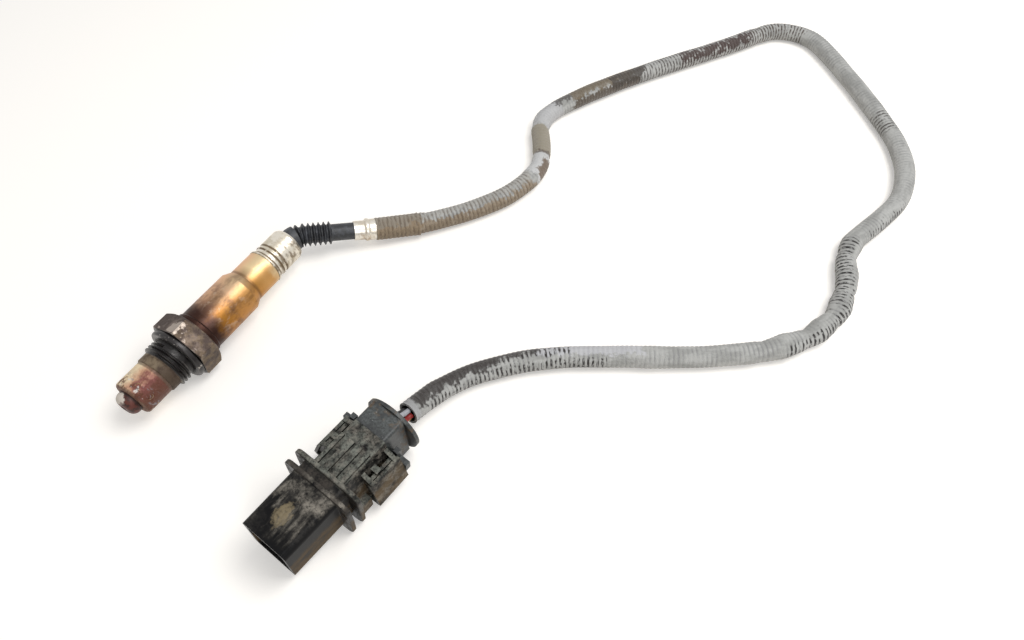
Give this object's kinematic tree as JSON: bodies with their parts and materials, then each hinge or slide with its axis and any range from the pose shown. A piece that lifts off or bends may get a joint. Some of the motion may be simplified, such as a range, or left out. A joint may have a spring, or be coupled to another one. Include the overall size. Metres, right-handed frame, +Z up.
{
  "type": "oxygen sensor",
  "caption": "Screw-in exhaust oxygen sensor with hexagon, protection tube, bellows strain relief, braided lead and a rectangular moulded plug.",
  "frame": {"origin": "on the sensor's axis, at the sealing face of the captive gasket", "axes": "+X along the sensor's axis toward the tip in the exhaust; +Z up from the surface it lies on; +Y toward the plug's side"},
  "size_m": [0.3585, 0.2237, 0.0261],
  "materials": {
    "inner_tube_steel": "heat-darkened steel, brown deposits",
    "outer_tube_steel": "heat-stained steel, cream to brick red",
    "shell_steel": "used plated steel, grey-brown film",
    "gasket_steel": "folded steel gasket, light grey",
    "sleeve_steel": "heat-tinted stainless, bronze and gold",
    "cap_steel": "bright stainless with brown marks",
    "ferrule_steel": "bright crimped steel",
    "bellows_rubber": "dark grey moulded fluoro rubber",
    "braid_glass_fibre": "grey braided sleeve",
    "housing_nylon": "black moulded nylon, dusty",
    "cover_nylon": "blue-grey moulded nylon",
    "seal_silicone": "orange-brown silicone",
    "zirconia": "fired zirconia",
    "steatite": "unglazed steatite",
    "talc": "pressed talc powder",
    "contact_nickel": "nickel spring strip",
    "terminal_brass": "tinned brass",
    "resistor_body": "glazed resistor body",
    "wire_grey": "grey insulation",
    "wire_red": "red insulation",
    "wire_yellow": "yellow insulation",
    "wire_white": "white insulation",
    "wire_black": "black insulation"
  },
  "bodies": {
    "root": {"sensor_shell": "shell_steel", "sealing_ring": "gasket_steel", "outer_protection_tube": "outer_tube_steel", "inner_protection_tube": "inner_tube_steel", "sensing_element": "zirconia", "lower_bush": "steatite", "talc_packing": "talc", "upper_bush": "steatite", "protective_sleeve": "sleeve_steel", "contact_holder_upper": "steatite", "contact_holder_lower": "steatite", "holder_ring": "contact_nickel", "contact_1": "contact_nickel", "contact_2": "contact_nickel", "contact_3": "contact_nickel", "contact_4": "contact_nickel", "contact_5": "contact_nickel", "crimp_cap": "cap_steel", "cable_grommet": "bellows_rubber", "bellows_sleeve": "bellows_rubber", "crimp_ferrule": "ferrule_steel", "sensor_wire_grey": "wire_grey", "sensor_wire_red": "wire_red", "sensor_wire_yellow": "wire_yellow", "sensor_wire_white": "wire_white", "sensor_wire_black": "wire_black", "braided_sleeve": "braid_glass_fibre", "plug_wire_grey": "wire_grey", "plug_wire_red": "wire_red", "plug_wire_yellow": "wire_yellow", "plug_wire_white": "wire_white", "plug_wire_black": "wire_black", "connector_housing": "housing_nylon", "blade_terminal_1": "terminal_brass", "blade_terminal_2": "terminal_brass", "blade_terminal_3": "terminal_brass", "blade_terminal_4": "terminal_brass", "blade_terminal_5": "terminal_brass", "blade_terminal_6": "terminal_brass", "interface_seal": "seal_silicone", "wire_seal": "seal_silicone", "trim_resistor": "resistor_body", "rear_cover": "cover_nylon"}
  },
  "joints": []
}
